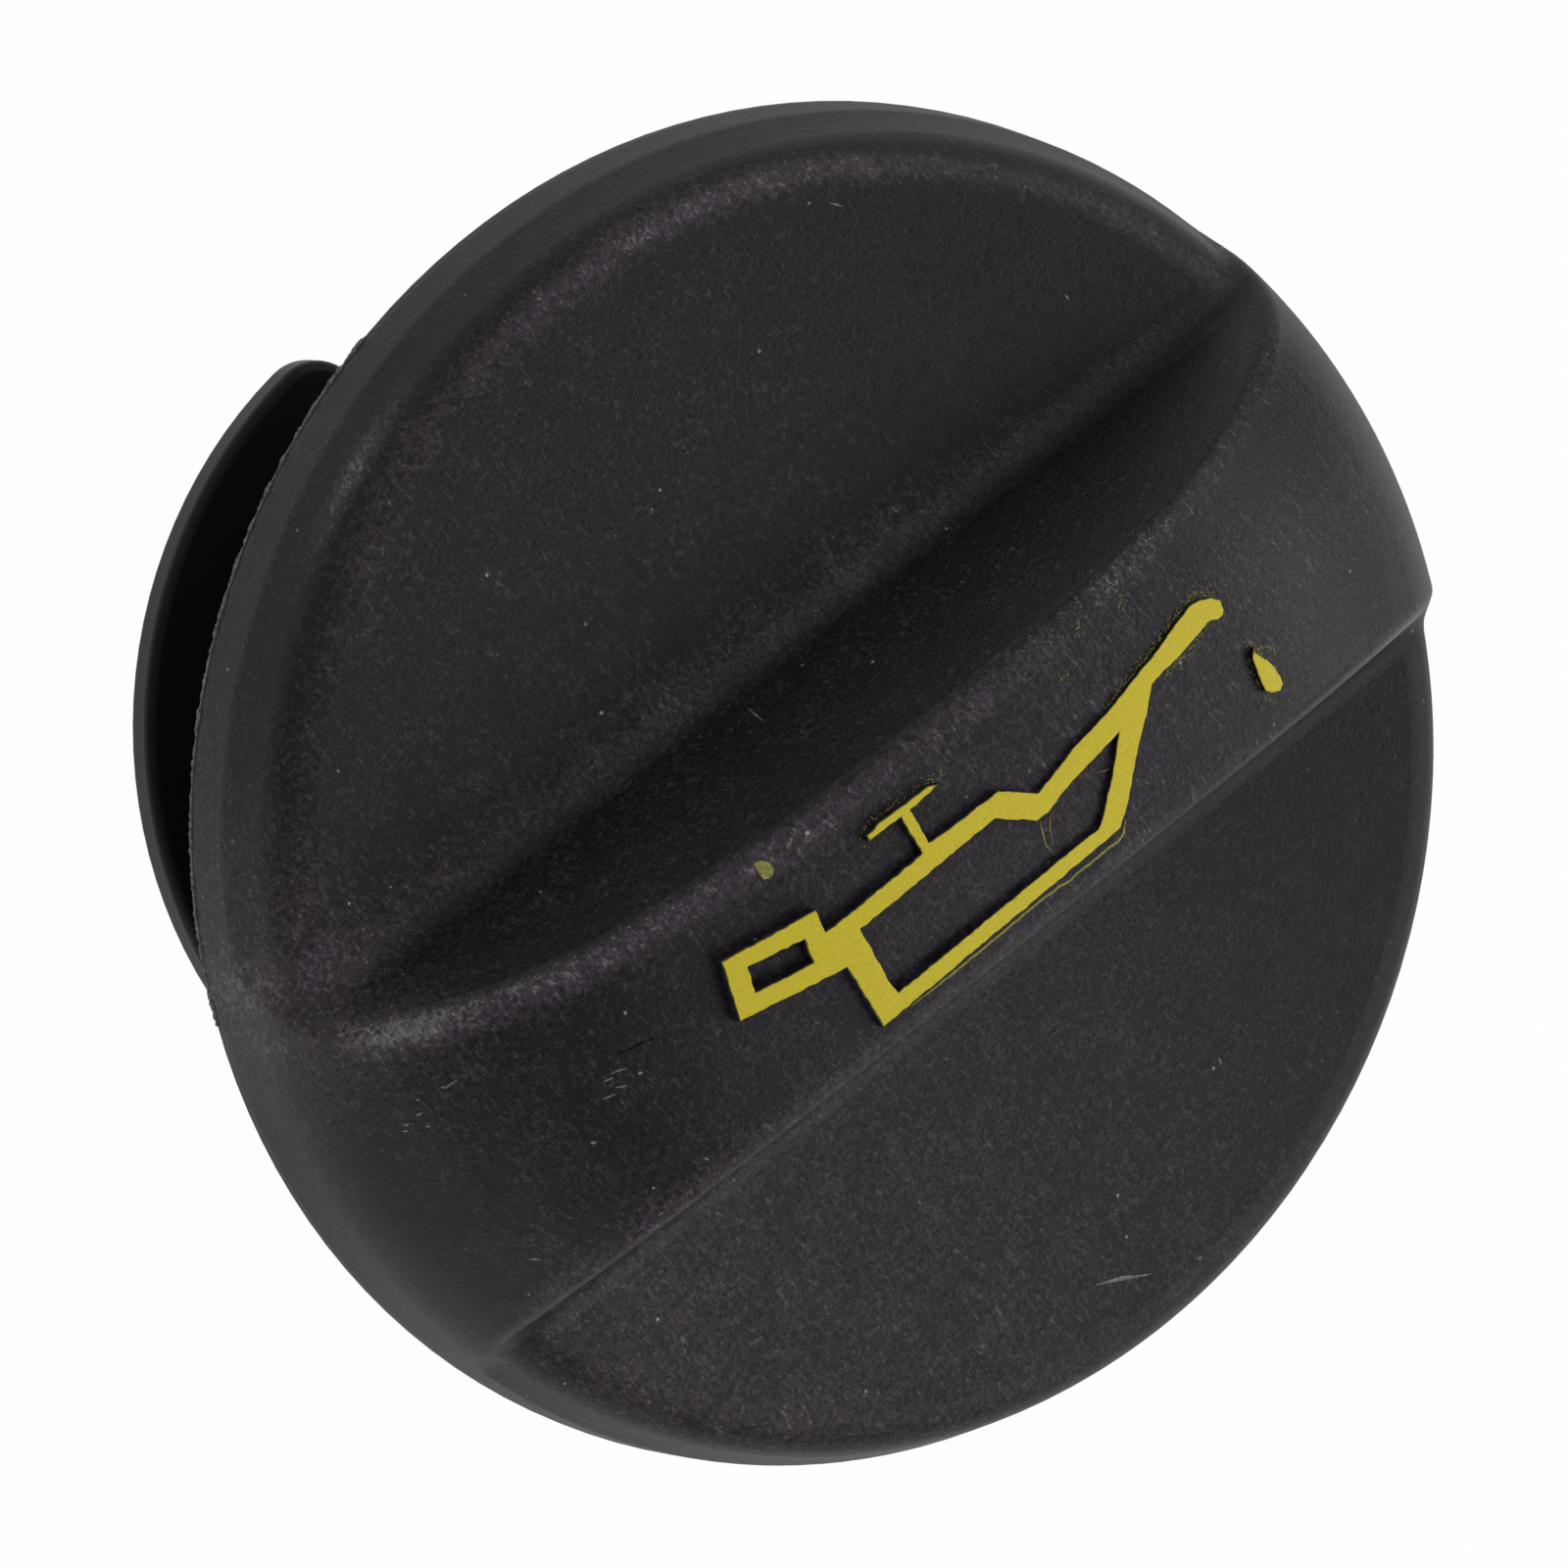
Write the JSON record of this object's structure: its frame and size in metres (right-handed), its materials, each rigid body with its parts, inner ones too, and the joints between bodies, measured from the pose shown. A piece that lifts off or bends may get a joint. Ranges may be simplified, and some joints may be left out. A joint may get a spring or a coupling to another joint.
{
  "type": "oil filler cap",
  "caption": "Round bayonet cap with a straight crowned grip bar between two half-moon ledges, a hollow stem with lugs and a rubber seal, closing an engine's oil filler neck.",
  "frame": {"origin": "on the cap's axis, at the end face of the stem, which the cap stands on", "axes": "+Z along the axis from the stem to the knob's crown, +X along the grip bar"},
  "size_m": [0.07, 0.07, 0.0492],
  "materials": {
    "knob_plastic": "black glass-filled polyamide, dry matte with fine grain and rubbed edges",
    "stem_plastic": "black polyamide, smooth satin",
    "seal_rubber": "black oil-resistant rubber, matte"
  },
  "bodies": {
    "root": {"knob": "knob_plastic", "bayonet_stem": "stem_plastic", "seal_ring": "seal_rubber"}
  },
  "joints": []
}
